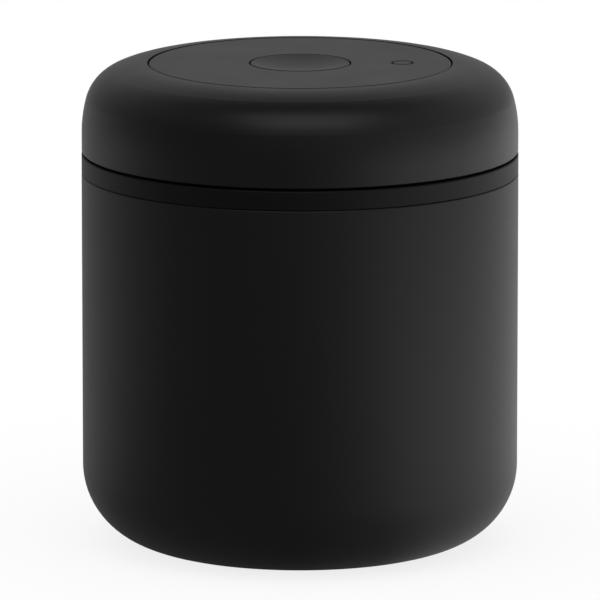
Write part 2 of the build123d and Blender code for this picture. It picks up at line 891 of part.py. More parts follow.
def release_seal():
    """Rubber disc that closes the port in the floor from below."""
    bore = stem_radius + press_gap
    return turned_corners(
        (bore, release_seal_bottom),
        (release_seal_radius - release_seal_lip, release_seal_bottom),
        (release_seal_radius, release_seal_top - release_seal_lip),
        (release_seal_radius, release_seal_top),
        (bore, release_seal_top),
    )


# Vacuum marker

def indicator_rod():
    """Rod whose head shows in the top disc, with a collar that stops it under the carrier."""
    rod = turned_corners(
        (0, marker_cup_top - marker_rod_radius),
        (marker_rod_radius, marker_cup_top - marker_rod_radius),
        (marker_rod_radius, marker_collar_top - marker_collar_height),
        (marker_collar_radius, marker_collar_top - marker_collar_height),
        (marker_collar_radius, marker_collar_top),
        (marker_radius, marker_collar_top),
        (marker_radius, lid_top - fine_edge_break),
        (marker_radius - fine_edge_break, lid_top),
        (0, lid_top),
    )
    return Pos(marker_offset, 0, 0) * rod


def indicator_cup():
    """Sealing cup that the vacuum pulls down in its tube."""
    place = (marker_offset, 0)
    cup = post(marker_cup_radius, marker_cup_bottom, marker_cup_top, place)
    socket_bottom = marker_cup_top - marker_rod_radius
    return cup - post(marker_rod_radius + press_gap, socket_bottom, marker_cup_top + overrun, place)


PIECES = [
    canister_shell,
    lid_tray, mouth_gasket, pump_cylinder, guide_hub, hub_screws, slip_ring, lid_carrier,
    carrier_screws, top_disc, inlet_valve, filter_mesh, filter_cap, button_spring, indicator_spring,
    cap_shell, drive_drum, drum_screws,
    piston_head, piston_seal, bore_seal, outlet_valve, drive_spider, spider_screws, cam_pins,
    release_button, valve_stem, release_seal,
    indicator_rod, indicator_cup,
]

os.makedirs("parts", exist_ok=True)
for piece in PIECES:
    made = piece()
    solids = made if isinstance(made, list) else [made]
    bodies = [solid for shape in solids for solid in shape.solids()]
    export_step(Compound(children=bodies), f"parts/{piece.__name__}.step")
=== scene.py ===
"""A matte-black vacuum coffee canister, dressed and lit as a studio product picture.

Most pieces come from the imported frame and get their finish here. The jar, the top disc, the
filter's gauze and the springs are built here as finer meshes over the same space. Lengths are
metres unless a name says otherwise, and every place comes from the frame or from named sizes.
"""
import logging
import math
from dataclasses import dataclass, field
from enum import Enum

import bmesh
import bpy
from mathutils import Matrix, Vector


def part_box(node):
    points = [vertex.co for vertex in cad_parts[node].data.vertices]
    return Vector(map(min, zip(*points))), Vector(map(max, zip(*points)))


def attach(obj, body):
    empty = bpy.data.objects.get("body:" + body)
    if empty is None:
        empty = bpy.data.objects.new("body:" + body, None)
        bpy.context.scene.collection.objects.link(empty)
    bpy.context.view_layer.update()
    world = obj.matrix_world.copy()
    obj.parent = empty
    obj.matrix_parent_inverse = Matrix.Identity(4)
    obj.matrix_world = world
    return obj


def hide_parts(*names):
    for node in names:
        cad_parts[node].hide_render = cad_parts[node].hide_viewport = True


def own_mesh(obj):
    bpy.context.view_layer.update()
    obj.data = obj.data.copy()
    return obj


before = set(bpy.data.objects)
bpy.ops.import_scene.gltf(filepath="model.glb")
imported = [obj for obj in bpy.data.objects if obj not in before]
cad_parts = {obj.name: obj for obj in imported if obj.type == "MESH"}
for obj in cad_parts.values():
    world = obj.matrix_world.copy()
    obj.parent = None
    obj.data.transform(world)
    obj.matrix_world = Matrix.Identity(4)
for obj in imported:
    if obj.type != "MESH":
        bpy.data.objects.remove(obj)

LOG = logging.getLogger("canister")
MM = 0.001
WHITE = "#ffffff"


class Body(Enum):
    """Bodies of the frame that new pieces move with."""

    CANISTER = "canister"
    LID_BASE = "lid_base"


class Slot(Enum):
    """Material slots of the record that new pieces take their finish from."""

    COATED_STEEL = "coated_steel"
    STEEL_MESH = "steel_mesh"
    SPRING_STEEL = "spring_steel"
    SOFT_TOUCH_PLASTIC = "soft_touch_plastic"


def srgb(code: str) -> tuple[float, float, float, float]:
    """Turn an sRGB hex colour into linear light.

    Args:
        code: Six hex digits after a hash sign.

    Returns:
        Red, green, blue and an opaque alpha.
    """
    channels = []
    for byte in bytes.fromhex(code[1:]):
        value = byte / 255
        # The sRGB standard has a straight foot and a power curve above it
        channels.append(value / 12.92 if value <= 0.04045 else ((value + 0.055) / 1.055) ** 2.4)
    return (*channels, 1.0)


def add_node(tree: bpy.types.NodeTree, kind: str, settings: dict | None = None,
             values: dict | None = None, links: dict | None = None) -> bpy.types.Node:
    """Add one node with its settings, its constant inputs and its incoming links.

    Args:
        tree: Node tree to add to.
        kind: Blender's name for the type of node.
        settings: Properties of the node itself.
        values: Constants for input sockets, by name or number.
        links: Output sockets that feed input sockets, by name or number.

    Returns:
        The new node.
    """
    node = tree.nodes.new(kind)
    for name, value in (settings or {}).items():
        setattr(node, name, value)
    for name, value in (values or {}).items():
        node.inputs[name].default_value = value
    for name, socket in (links or {}).items():
        tree.links.new(socket, node.inputs[name])
    return node


def start_material(name: str) -> tuple[bpy.types.Material, bpy.types.NodeTree]:
    """Make a material with an empty node tree.

    Args:
        name: Name of the finish.

    Returns:
        The material and its tree.
    """
    material = bpy.data.materials.new(name)
    material.use_nodes = True
    material.node_tree.nodes.clear()
    return material, material.node_tree


@dataclass(frozen=True)
class PowderCoat:
    """Polyester powder baked on steel.

    The powder flows together in the oven but not quite flat, so the eye sees a soft, matt sheen
    with a faint orange peel and tiny pits, and no clear reflection.
    """

    name: str = "powder coated steel"
    colour: str = "#050505"
    worn_colour: str = "#080808"
    grit_mm: float = 0.7
    grit_detail: float = 3.0
    peel_mm: float = 3.5
    peel_detail: float = 2.0
    peel_share: float = 0.6
    relief_mm: float = 0.006
    ior: float = 1.5
    roughness: float = 0.45
    roughness_swing: float = 0.04

    def build(self) -> bpy.types.Material:
        """Make the material.

        Returns:
            The finished material.
        """
        material, tree = start_material(self.name)
        place = add_node(tree, "ShaderNodeTexCoord").outputs["Object"]
        # A grain of powder is near 0.05 mm, so the grit is drawn coarser for it to show at all
        grit = add_node(tree, "ShaderNodeTexNoise",
                        values={"Scale": 1 / (self.grit_mm * MM), "Detail": self.grit_detail},
                        links={"Vector": place})
        peel = add_node(tree, "ShaderNodeTexNoise",
                        values={"Scale": 1 / (self.peel_mm * MM), "Detail": self.peel_detail},
                        links={"Vector": place})
        height = add_node(tree, "ShaderNodeMix", settings={"data_type": "FLOAT"},
                          values={0: self.peel_share},
                          links={2: grit.outputs["Fac"], 3: peel.outputs["Fac"]})
        bump = add_node(tree, "ShaderNodeBump",
                        values={"Strength": 1.0, "Distance": self.relief_mm * MM},
                        links={"Height": height.outputs[0]})
        tone = add_node(tree, "ShaderNodeMix", settings={"data_type": "RGBA"},
                        values={6: srgb(self.colour), 7: srgb(self.worn_colour)},
                        links={0: peel.outputs["Fac"]})
        gloss = add_node(tree, "ShaderNodeMapRange",
                         values={"To Min": self.roughness - self.roughness_swing,
                                 "To Max": self.roughness + self.roughness_swing},
                         links={"Value": grit.outputs["Fac"]})
        shader = add_node(tree, "ShaderNodeBsdfPrincipled",
                          values={"IOR": self.ior},
                          links={"Base Color": tone.outputs[2],
                                 "Roughness": gloss.outputs["Result"],
                                 "Normal": bump.outputs["Normal"]})
        add_node(tree, "ShaderNodeOutputMaterial", links={"Surface": shader.outputs["BSDF"]})
        return material


@dataclass(frozen=True)
class MouldedPlastic:
    """Injection-moulded plastic from a spark-eroded mould: an even, fine-grained skin.

    The grain breaks highlights into a soft glow, and slow flow marks keep the tone from being
    the same all over.
    """

    name: str
    colour: str
    flow_colour: str
    roughness: float = 0.5
    roughness_swing: float = 0.04
    grain_mm: float = 0.5
    grain_detail: float = 4.0
    flow_mm: float = 18.0
    flow_detail: float = 3.0
    flow_bend: float = 0.6
    relief_mm: float = 0.004
    ior: float = 1.5
    specular_level: float = 0.5
    glow: float = 0.0
    glow_depth_mm: float = 1.0

    def build(self) -> bpy.types.Material:
        """Make the material.

        Returns:
            The finished material.
        """
        material, tree = start_material(self.name)
        place = add_node(tree, "ShaderNodeTexCoord").outputs["Object"]
        # The real grain is near 0.1 mm across, so it is drawn coarser for it to show
        grain = add_node(tree, "ShaderNodeTexNoise",
                         values={"Scale": 1 / (self.grain_mm * MM), "Detail": self.grain_detail},
                         links={"Vector": place})
        flow = add_node(tree, "ShaderNodeTexNoise",
                        values={"Scale": 1 / (self.flow_mm * MM), "Detail": self.flow_detail,
                                "Distortion": self.flow_bend},
                        links={"Vector": place})
        bump = add_node(tree, "ShaderNodeBump",
                        values={"Strength": 1.0, "Distance": self.relief_mm * MM},
                        links={"Height": grain.outputs["Fac"]})
        tone = add_node(tree, "ShaderNodeMix", settings={"data_type": "RGBA"},
                        values={6: srgb(self.colour), 7: srgb(self.flow_colour)},
                        links={0: flow.outputs["Fac"]})
        gloss = add_node(tree, "ShaderNodeMapRange",
                         values={"To Min": self.roughness - self.roughness_swing,
                                 "To Max": self.roughness + self.roughness_swing},
                         links={"Value": flow.outputs["Fac"]})
        shader = add_node(tree, "ShaderNodeBsdfPrincipled",
                          values={"IOR": self.ior,
                                  "Specular IOR Level": self.specular_level,
                                  "Subsurface Weight": self.glow,
                                  "Subsurface Scale": self.glow_depth_mm * MM},
                          links={"Base Color": tone.outputs[2],
                                 "Roughness": gloss.outputs["Result"],
                                 "Normal": bump.outputs["Normal"]})
        add_node(tree, "ShaderNodeOutputMaterial", links={"Surface": shader.outputs["BSDF"]})
        return material


@dataclass(frozen=True)
class Rubber:
    """Compression-moulded silicone.

    Its thin lips let a little light through, and its skin holds dust, so it looks satin and soft
    at the edges where plastic beside it looks crisp.
    """

    name: str = "moulded silicone rubber"
    colour: str = "#424342"
    dust_colour: str = "#4c4d4c"
    dust_mm: float = 1.2
    dust_detail: float = 5.0
    relief_mm: float = 0.01
    roughness: float = 0.45
    ior: float = 1.41
    glow: float = 0.25
    glow_depth_mm: float = 1.0

    def build(self) -> bpy.types.Material:
        """Make the material.

        Returns:
            The finished material.
        """
        material, tree = start_material(self.name)
        place = add_node(tree, "ShaderNodeTexCoord").outputs["Object"]
        dust = add_node(tree, "ShaderNodeTexNoise",
                        values={"Scale": 1 / (self.dust_mm * MM), "Detail": self.dust_detail},
                        links={"Vector": place})
        bump = add_node(tree, "ShaderNodeBump",
                        values={"Strength": 1.0, "Distance": self.relief_mm * MM},
                        links={"Height": dust.outputs["Fac"]})
        tone = add_node(tree, "ShaderNodeMix", settings={"data_type": "RGBA"},
                        values={6: srgb(self.colour), 7: srgb(self.dust_colour)},
                        links={0: dust.outputs["Fac"]})
        shader = add_node(tree, "ShaderNodeBsdfPrincipled",
                          values={"Roughness": self.roughness,
                                  "IOR": self.ior,
                                  "Subsurface Weight": self.glow,
                                  "Subsurface Scale": self.glow_depth_mm * MM},
                          links={"Base Color": tone.outputs[2],
                                 "Normal": bump.outputs["Normal"]})
        add_node(tree, "ShaderNodeOutputMaterial", links={"Surface": shader.outputs["BSDF"]})
        return material


@dataclass(frozen=True)
class WorkedMetal:
    """Bare or plated metal whose tool marks run one way.

    The marks are long in one direction and narrow in the other, so highlights spread across
    them.
    """

    name: str
    colour: str
    shade_colour: str
    roughness: float = 0.3
    roughness_swing: float = 0.08
    mark_mm: float = 0.3
    mark_length_mm: float = 8.0
    mark_detail: float = 4.0
    relief_mm: float = 0.003
    round_the_axis: bool = False

    def build(self) -> bpy.types.Material:
        """Make the material.

        Returns:
            The finished material.
        """
        material, tree = start_material(self.name)
        place = add_node(tree, "ShaderNodeTexCoord").outputs["Object"]
        across = 1 / (self.mark_mm * MM)
        along = 1 / (self.mark_length_mm * MM)
        scale = (along, along, across) if self.round_the_axis else (across, across, along)
        stretched = add_node(tree, "ShaderNodeMapping", values={"Scale": scale},
                             links={"Vector": place})
        marks = add_node(tree, "ShaderNodeTexNoise",
                         values={"Scale": 1.0, "Detail": self.mark_detail},
                         links={"Vector": stretched.outputs["Vector"]})
        bump = add_node(tree, "ShaderNodeBump",
                        values={"Strength": 1.0, "Distance": self.relief_mm * MM},
                        links={"Height": marks.outputs["Fac"]})
        tone = add_node(tree, "ShaderNodeMix", settings={"data_type": "RGBA"},
                        values={6: srgb(self.colour), 7: srgb(self.shade_colour)},
                        links={0: marks.outputs["Fac"]})
        gloss = add_node(tree, "ShaderNodeMapRange",
                         values={"To Min": self.roughness - self.roughness_swing,
                                 "To Max": self.roughness + self.roughness_swing},
                         links={"Value": marks.outputs["Fac"]})
        shader = add_node(tree, "ShaderNodeBsdfPrincipled", values={"Metallic": 1.0},
                          links={"Base Color": tone.outputs[2],
                                 "Roughness": gloss.outputs["Result"],
                                 "Normal": bump.outputs["Normal"]})
        add_node(tree, "ShaderNodeOutputMaterial", links={"Surface": shader.outputs["BSDF"]})
        return material


def add_ray_kinds(tree: bpy.types.NodeTree) -> tuple[bpy.types.NodeSocket, bpy.types.NodeSocket]:
    """Add nodes that tell apart the rays that come to a surface or the world.

    Args:
        tree: Node tree to add to.

    Returns:
        A socket that is one for rays from the camera, and one that is one for rays that leave
        gloss or glass.
    """
    path = add_node(tree, "ShaderNodeLightPath").outputs
    mirrored = add_node(tree, "ShaderNodeMath", settings={"operation": "MAXIMUM"},
                        links={0: path["Is Glossy Ray"], 1: path["Is Transmission Ray"]})
    return path["Is Camera Ray"], mirrored.outputs[0]


@dataclass(frozen=True)
class Paper:
    """Background paper, white to the camera and grey to the light that it sends back.

    Gloss sees painted light on it, brightest at the right and dark in front, as a softly lit
    sweep is, and a painted shadow at the object's foot. The camera's share is under one, so that
    the cast shadow stays.
    """

    name: str = "matt background paper"
    seen_colour: str = "#fbfbfb"
    bounce_colour: str = "#505050"
    fibre_shade: float = 0.04
    fibre_mm: float = 1.5
    fibre_detail: float = 2.0
    seen_share: float = 0.82
    # Painted light for gloss: turns from the left by the front, right and back, and the share of
    # white at each
    painted_gloss_light_stops: tuple[tuple[float, float], ...] = (
        (0.0, 0.24), (0.045, 0.1), (0.12, 0.05), (0.25, 0.03), (0.33, 0.25), (0.39, 0.8),
        (0.455, 1.0), (0.56, 1.0), (0.63, 0.95), (0.75, 0.5), (0.87, 0.4), (0.935, 0.4),
        (1.0, 0.24),
    )
    # Painted shadow in gloss at the foot: the share of white there, and how much of the side
    # light stays
    painted_foot_shadow_share: float = 0.14
    painted_foot_shadow_mix: float = 0.42
    # Metres from the axis where the painted shadow at the foot starts to fade and where it ends
    painted_foot_shadow_edges: tuple[float, float] = (0.05, 0.14)

    def build(self) -> bpy.types.Material:
        """Make the material.

        Returns:
            The finished material.
        """
        material, tree = start_material(self.name)
        place = add_node(tree, "ShaderNodeTexCoord").outputs["Object"]
        fibres = add_node(tree, "ShaderNodeTexNoise",
                          values={"Scale": 1 / (self.fibre_mm * MM), "Detail": self.fibre_detail},
                          links={"Vector": place})
        from_camera, from_gloss = add_ray_kinds(tree)
        paper = add_node(tree, "ShaderNodeMix", settings={"data_type": "RGBA"},
                         values={6: srgb(self.bounce_colour), 7: srgb(self.seen_colour)},
                         links={0: from_camera})
        shade = add_node(tree, "ShaderNodeMapRange",
                         values={"To Min": 1 - self.fibre_shade, "To Max": 1.0},
                         links={"Value": fibres.outputs["Fac"]})
        tone = add_node(tree, "ShaderNodeVectorMath", settings={"operation": "SCALE"},
                        links={0: paper.outputs[2], "Scale": shade.outputs["Result"]})
        matt = add_node(tree, "ShaderNodeBsdfDiffuse", links={"Color": tone.outputs[0]})
        white = add_node(tree, "ShaderNodeEmission", values={"Color": srgb(WHITE)})
        # Painted light that gloss sees, by turn round the axis
        turn = add_node(tree, "ShaderNodeTexGradient", settings={"gradient_type": "RADIAL"},
                        links={"Vector": place})
        sides = add_node(tree, "ShaderNodeValToRGB", links={"Fac": turn.outputs["Fac"]})
        stops = sides.color_ramp.elements
        stops.remove(stops[1])
        for number, (position, share) in enumerate(self.painted_gloss_light_stops):
            stop = stops.new(position) if number else stops[0]
            stop.position = position
            stop.color = (share, share, share, 1.0)
        # Painted shadow that gloss sees near the object's foot
        reach = add_node(tree, "ShaderNodeVectorMath", settings={"operation": "LENGTH"},
                         links={0: place})
        foot = add_node(tree, "ShaderNodeMapRange",
                        values={"From Min": self.painted_foot_shadow_edges[0], "From Max": self.painted_foot_shadow_edges[1],
                                "To Min": self.painted_foot_shadow_mix, "To Max": 1.0},
                        links={"Value": reach.outputs["Value"]})
        level = add_node(tree, "ShaderNodeMix", settings={"data_type": "FLOAT"},
                         values={2: self.painted_foot_shadow_share},
                         links={0: foot.outputs["Result"], 3: sides.outputs["Color"]})
        mirrored = add_node(tree, "ShaderNodeMath", settings={"operation": "MULTIPLY"},
                            links={0: level.outputs[0], 1: from_gloss})
        share = add_node(tree, "ShaderNodeMath", settings={"operation": "MULTIPLY_ADD"},
                         values={1: self.seen_share},
                         links={0: from_camera, 2: mirrored.outputs[0]})
        mixed = add_node(tree, "ShaderNodeMixShader",
                         links={0: share.outputs[0], 1: matt.outputs["BSDF"],
                                2: white.outputs["Emission"]})
        add_node(tree, "ShaderNodeOutputMaterial", links={"Surface": mixed.outputs["Shader"]})
        return material


def dress(node: str, material: bpy.types.Material) -> None:
    """Give a CAD node its finish.

    Args:
        node: Name of the node in the frame.
        material: Finish for all of its slots.
    """
    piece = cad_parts[node]
    for slot in piece.material_slots:
        slot.material = material
    LOG.info("%s: %s", node, material.name)


def add_piece(name: str, shell: bmesh.types.BMesh, materials: list[bpy.types.Material],
              body: Body, replaced: list[str],
              sharp_angle: float | None = None) -> bpy.types.Object:
    """Put a new piece in the scene, on its body and in place of CAD nodes.

    Args:
        name: Name of the piece and of its mesh.
        shell: Its shape, which is freed here.
        materials: Its finishes, in the order that the faces number them.
        body: Body that it moves with.
        replaced: CAD nodes that it stands for.
        sharp_angle: Angle in degrees over which edges stay sharp. None leaves all as built.

    Returns:
        The new object.
    """
    mesh = bpy.data.meshes.new(name)
    shell.to_mesh(mesh)
    shell.free()
    if sharp_angle is not None:
        mesh.set_sharp_from_angle(angle=math.radians(sharp_angle))
    for material in materials:
        mesh.materials.append(material)
    piece = bpy.data.objects.new(name, mesh)
    bpy.context.scene.collection.objects.link(piece)
    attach(piece, body.value)
    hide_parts(*replaced)
    LOG.info("%s: %d faces, in place of %s", name, len(mesh.polygons), ", ".join(replaced))
    return piece


def arc(centre: tuple[float, float], radius: float, start: float, end: float,
        steps: int) -> list[tuple[float, float]]:
    """Points along an arc in a profile.

    Args:
        centre: Radius and height of the arc's centre.
        radius: Radius of the arc.
        start: First angle in degrees.
        end: Last angle in degrees.
        steps: Number of stretches.

    Returns:
        Radius and height of each point, the ends included.
    """
    points = []
    for step in range(steps + 1):
        turn = math.radians(start + (end - start) * step / steps)
        place = (centre[0] + radius * math.cos(turn), centre[1] + radius * math.sin(turn))
        points.append(place)
    return points


def add_circle(shell: bmesh.types.BMesh, radius: float, height: float, segments: int,
               offset: float = 0.0) -> list[bmesh.types.BMVert]:
    """Add the points of a level circle.

    Args:
        shell: Mesh to add to.
        radius: Radius of the circle.
        height: Height of the circle.
        segments: Number of points.
        offset: Place of its middle along the first axis.

    Returns:
        The points in order.
    """
    points = []
    for segment in range(segments):
        turn = 2 * math.pi * segment / segments
        place = (offset + radius * math.cos(turn), radius * math.sin(turn), height)
        points.append(shell.verts.new(place))
    return points


def join_circles(shell: bmesh.types.BMesh, circles: list[list[bmesh.types.BMVert]]) -> None:
    """Join circles with as many points each into one smooth wall.

    Args:
        shell: Mesh that holds the circles.
        circles: Circles in the order of the wall.
    """
    for near, far in zip(circles, circles[1:]):
        for corner in range(len(near)):
            after = (corner + 1) % len(near)
            face = shell.faces.new((near[corner], near[after], far[after], far[corner]))
            face.smooth = True


def fill_between(shell: bmesh.types.BMesh, circles: list[list[bmesh.types.BMVert]]) -> None:
    """Fill the flat space inside the first circle and outside the others.

    Args:
        shell: Mesh that holds the circles, each already the edge of a wall.
        circles: The outer circle and then the openings.
    """
    edges = []
    for circle in circles:
        for corner, point in enumerate(circle):
            edges.append(shell.edges.get((point, circle[(corner + 1) % len(circle)])))
    bmesh.ops.triangle_fill(shell, use_beauty=True, edges=edges)


def add_tube(shell: bmesh.types.BMesh, rings: list[list[bmesh.types.BMVert]]) -> None:
    """Join rings of points into a smooth tube with closed ends.

    Args:
        shell: Mesh that holds the points.
        rings: Points of each ring, in order round it.
    """
    for near, far in zip(rings, rings[1:]):
        for corner in range(len(near)):
            after = (corner + 1) % len(near)
            face = shell.faces.new((near[corner], far[corner], far[after], near[after]))
            face.smooth = True
    shell.faces.new(rings[0])
    shell.faces.new(rings[-1])


@dataclass
class Spring:
    """Compression spring with closed ends."""

    name: str
    node: str
    joint: str
    travel: float
    wire_radius: float
    turns: float
    end_turns: float = 0.8
    # Pitch of the closed turns over the wire's thickness, so that they nearly touch
    end_pitch_share: float = 1.02
    steps_per_turn: int = 32
    wire_sides: int = 10
    # Drawn through a die and oiled: greyer than the screws, with long glints along the coil
    wire: WorkedMetal = WorkedMetal(
        name="drawn spring steel wire",
        colour="#a9a8a6",
        shade_colour="#8f8e8c",
        roughness=0.25,
        mark_mm=0.15,
    )

    def rise(self, turn: float, length: float) -> float:
        """Work out how high the wire is after some turns.

        Args:
            turn: Turns from the lower end.
            length: Height of the upper end over the lower one.

        Returns:
            Height over the lower end.
        """
        closed = 2 * self.wire_radius * self.end_pitch_share
        closed_height = self.end_turns * closed
        if turn < self.end_turns:
            return turn * closed
        if turn > self.turns - self.end_turns:
            return length - (self.turns - turn) * closed
        open_turns = self.turns - 2 * self.end_turns
        open_height = length - 2 * closed_height
        return closed_height + (turn - self.end_turns) * open_height / open_turns

    def build(self) -> bpy.types.Object:
        """Wind the spring over the space of the CAD one.

        Returns:
            The spring.
        """
        low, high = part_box(self.node)
        centre = ((low[0] + high[0]) / 2, (low[1] + high[1]) / 2)
        radius = (high[0] - low[0]) / 2 - self.wire_radius
        base = low[2] + self.wire_radius
        length = high[2] - self.wire_radius - base
        coil = bmesh.new()
        rings = []
        steps = round(self.turns * self.steps_per_turn)
        for step in range(steps + 1):
            turn = self.turns * step / steps
            angle = 2 * math.pi * turn
            ring = []
            for corner in range(self.wire_sides):
                tilt = 2 * math.pi * corner / self.wire_sides
                reach = radius + self.wire_radius * math.cos(tilt)
                ring.append(coil.verts.new((
                    centre[0] + reach * math.cos(angle),
                    centre[1] + reach * math.sin(angle),
                    base + self.rise(turn, length) + self.wire_radius * math.sin(tilt),
                )))
            rings.append(ring)
        add_tube(coil, rings)
        bmesh.ops.recalc_face_normals(coil, faces=coil.faces)
        spring = add_piece(self.name, coil, [self.wire.build()], Body.LID_BASE,
                           [self.node])
        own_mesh(spring)
        return spring


@dataclass
class Jar:
    """Drawn steel jar, coated outside and brushed inside."""

    wall: float = 0.9 * MM
    corner_radius: float = 20.7 * MM
    stand_width: float = 6.0 * MM
    recess_height: float = 1.2 * MM
    recess_slope: float = 2.0 * MM
    rim_rounding: float = 0.36 * MM
    segments: int = 190
    corner_steps: int = 24
    rounding_steps: int = 4
    sharp_angle: float = 30.0
    outside: PowderCoat = field(default_factory=PowderCoat)
    # Brushed round the axis, so a light stands up and down on the wall as a soft streak
    inside: WorkedMetal = field(default_factory=lambda: WorkedMetal(
        name="brushed stainless steel",
        colour="#e4e5e6",
        shade_colour="#d8d9da",
        roughness=0.38,
        round_the_axis=True,
    ))

    def profiles(self) -> tuple[list[tuple[float, float]], list[tuple[float, float]]]:
        """Work out the outline from the size of the CAD jar.

        Returns:
            Outside from the middle of the base to the rim, and inside from the rim to the
            middle of the floor, each as radius and height.
        """
        _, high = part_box("canister_shell")
        radius, height = high[0], high[2]
        inner = radius - self.wall
        stand = radius - self.corner_radius
        recess = stand - self.stand_width
        edge = recess - self.recess_slope
        centre = (stand, self.corner_radius)
        rounding = self.rim_rounding
        rim = height - rounding
        outside = [(0.0, self.recess_height), (edge, self.recess_height), (recess, 0.0)]
        outside += arc(centre, self.corner_radius, -90.0, 0.0, self.corner_steps)
        outside += arc((radius - rounding, rim), rounding, 0.0, 90.0, self.rounding_steps)
        inside = arc((inner + rounding, rim), rounding, 90.0, 180.0, self.rounding_steps)
        inside += arc(centre, self.corner_radius - self.wall, 0.0, -90.0, self.corner_steps)
        floor = self.recess_height + self.wall
        inside += [(recess, self.wall), (edge, floor), (0.0, floor)]
        return outside, inside

    def build(self) -> bpy.types.Object:
        """Turn the profiles into one closed shell with two finishes.

        Returns:
            The jar.
        """
        outside, inside = self.profiles()
        shell = bmesh.new()
        rings = []
        for radius, height in outside + inside:
            # A ring on the axis is a single point
            rings.append(add_circle(shell, radius, height, self.segments if radius else 1))
        for index, (lower, upper) in enumerate(zip(rings, rings[1:])):
            for segment in range(self.segments):
                after = (segment + 1) % self.segments
                corners = [
                    lower[segment % len(lower)], lower[after % len(lower)],
                    upper[after % len(upper)], upper[segment % len(upper)],
                ]
                face = shell.faces.new(dict.fromkeys(corners))
                face.smooth = True
                face.material_index = 0 if index < len(outside) else 1
        return add_piece("jar", shell, [self.outside.build(), self.inside.build()],
                         Body.CANISTER, ["canister_shell"], self.sharp_angle)


@dataclass
class LidBase:
    """Fixed half of the lid: tray, gasket, pump cylinder, hub, carrier and filter cap."""

    # Bare polypropylene is waxy and a little flatter than the coated pieces above and below it
    band: MouldedPlastic = MouldedPlastic(
        name="moulded black polypropylene",
        colour="#040404",
        flow_colour="#060606",
        roughness=0.5,
        specular_level=0.29,
    )
    # Unpainted works inside a lid: a plain mid grey with an even moulded sheen
    works: MouldedPlastic = MouldedPlastic(
        name="moulded grey ABS",
        colour="#8d8f90",
        flow_colour="#86888a",
        roughness=0.42,
    )
    # Slippery acetal is milky: light goes a little way in, so its edges look soft and warm
    acetal: MouldedPlastic = MouldedPlastic(
        name="moulded natural acetal",
        colour="#e6e4dc",
        flow_colour="#dedcd2",
        roughness=0.35,
        glow=0.2,
    )
    rubber: Rubber = Rubber()
    # Zinc plate is cool and bright, with fine cloudy marks from the bath
    screws: WorkedMetal = WorkedMetal(
        name="zinc plated steel",
        colour="#b9bcc0",
        shade_colour="#a3a7ad",
        roughness=0.35,
        mark_mm=0.4,
        mark_length_mm=0.8,
    )

    def build(self) -> dict[str, bpy.types.Material]:
        """Dress the fixed half of the lid.

        Returns:
            The finishes that the other halves share, by name.
        """
        shared = {
            "acetal": self.acetal.build(),
            "rubber": self.rubber.build(),
            "screws": self.screws.build(),
        }
        band = self.band.build()
        works = self.works.build()
        for node in ("lid_tray", "filter_cap"):
            dress(node, band)
        for node in ("pump_cylinder", "guide_hub", "lid_carrier"):
            dress(node, works)
        for node in ("mouth_gasket", "inlet_valve"):
            dress(node, shared["rubber"])
        for node in ("hub_screws", "carrier_screws"):
            dress(node, shared["screws"])
        dress("slip_ring", shared["acetal"])
        return shared


@dataclass
class TopDisc:
    """Flat disc with soft edges, openings for the button and the marker, and a spigot below."""

    thickness: float = 1.6 * MM
    rim_trim: float = 0.05 * MM
    # Width and drop of each softened edge
    rim_edge: tuple[float, float] = (0.46 * MM, 0.26 * MM)
    opening_edge: tuple[float, float] = (0.24 * MM, 0.14 * MM)
    button_opening: float = 13.35 * MM
    marker_opening: float = 2.95 * MM
    marker_offset: float = 26.674 * MM
    spigot_radius: float = 38.098 * MM
    spigot_bore: float = 36.898 * MM
    segments: int = 256
    button_segments: int = 128
    marker_segments: int = 64
    sharp_angle: float = 20.0
    # A soft touch coat swallows light and spreads the rest, so the flat disc has no sharp glint
    finish: MouldedPlastic = MouldedPlastic(
        name="soft touch coated ABS",
        colour="#050505",
        flow_colour="#080808",
        roughness=0.42,
    )

    def build(self) -> bpy.types.Object:
        """Make the disc over the space of the CAD one.

        Returns:
            The disc.
        """
        low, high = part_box("top_disc")
        radius = high[0] - self.rim_trim
        top = high[2]
        bottom = top - self.thickness
        plate = bmesh.new()
        rim = [
            add_circle(plate, reach, height, self.segments)
            for reach, height in (
                (radius - self.rim_edge[0], top), (radius, top - self.rim_edge[1]),
                (radius, bottom),
                (self.spigot_radius, bottom), (self.spigot_radius, low[2]),
                (self.spigot_bore, low[2]), (self.spigot_bore, bottom),
            )
        ]
        openings = []
        for opening, segments, offset in (
            (self.button_opening, self.button_segments, 0.0),
            (self.marker_opening, self.marker_segments, self.marker_offset),
        ):
            openings.append([
                add_circle(plate, reach, height, segments, offset)
                for reach, height in (
                    (opening + self.opening_edge[0], top),
                    (opening, top - self.opening_edge[1]),
                    (opening, bottom),
                )
            ])
        for wall in (rim, *openings):
            join_circles(plate, wall)
        fill_between(plate, [rim[0], *(wall[0] for wall in openings)])
        fill_between(plate, [rim[-1], *(wall[-1] for wall in openings)])
        bmesh.ops.recalc_face_normals(plate, faces=plate.faces)
        return add_piece("disc", plate, [self.finish.build()], Body.LID_BASE,
                         ["top_disc"], self.sharp_angle)


